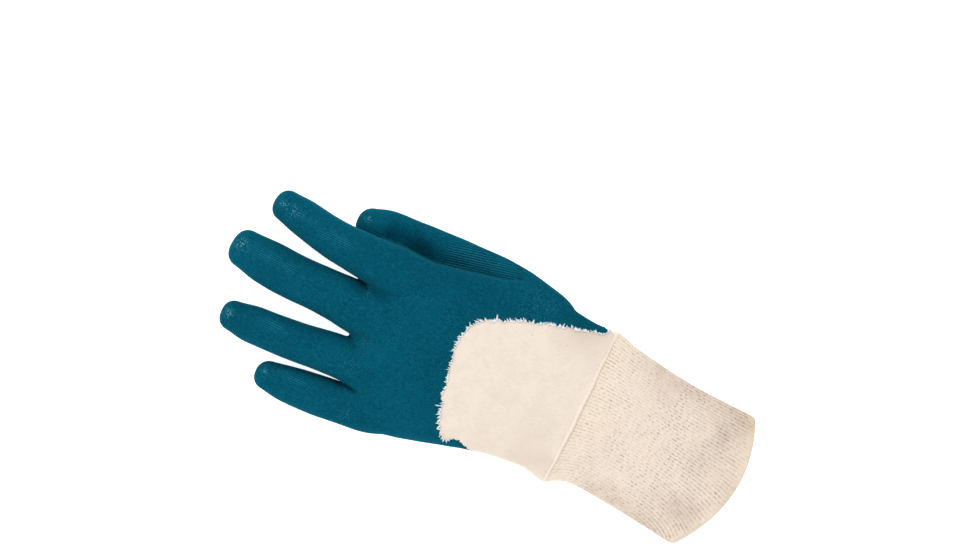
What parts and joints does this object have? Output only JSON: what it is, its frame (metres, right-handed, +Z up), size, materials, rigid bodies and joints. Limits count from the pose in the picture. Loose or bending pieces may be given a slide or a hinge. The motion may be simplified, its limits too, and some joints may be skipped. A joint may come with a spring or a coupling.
{
  "type": "nitrile coated glove",
  "caption": "Left-hand cotton work glove, palm down, with nitrile-dipped fingers, thumb and palm, a bare jersey back and a rib-knit wrist.",
  "frame": {"origin": "middle of the glove's bounding box, at the height of the surface that it lies on", "axes": "+X towards the thumb side, +Y from the knit wrist to the fingertips, +Z up out of the back of the hand"},
  "size_m": [0.1096, 0.2694, 0.0318],
  "materials": {
    "nitrile_coating": "matte teal nitrile with a fine pebbled grain",
    "cotton_jersey": "smooth off-white cotton jersey, lightly brushed",
    "rib_knit_cotton": "off-white cotton rib knit"
  },
  "bodies": {
    "root": {"coated_hand": "nitrile_coating", "jersey_back": "cotton_jersey", "wrist_seam": "cotton_jersey", "knit_wrist": "rib_knit_cotton"}
  },
  "joints": []
}
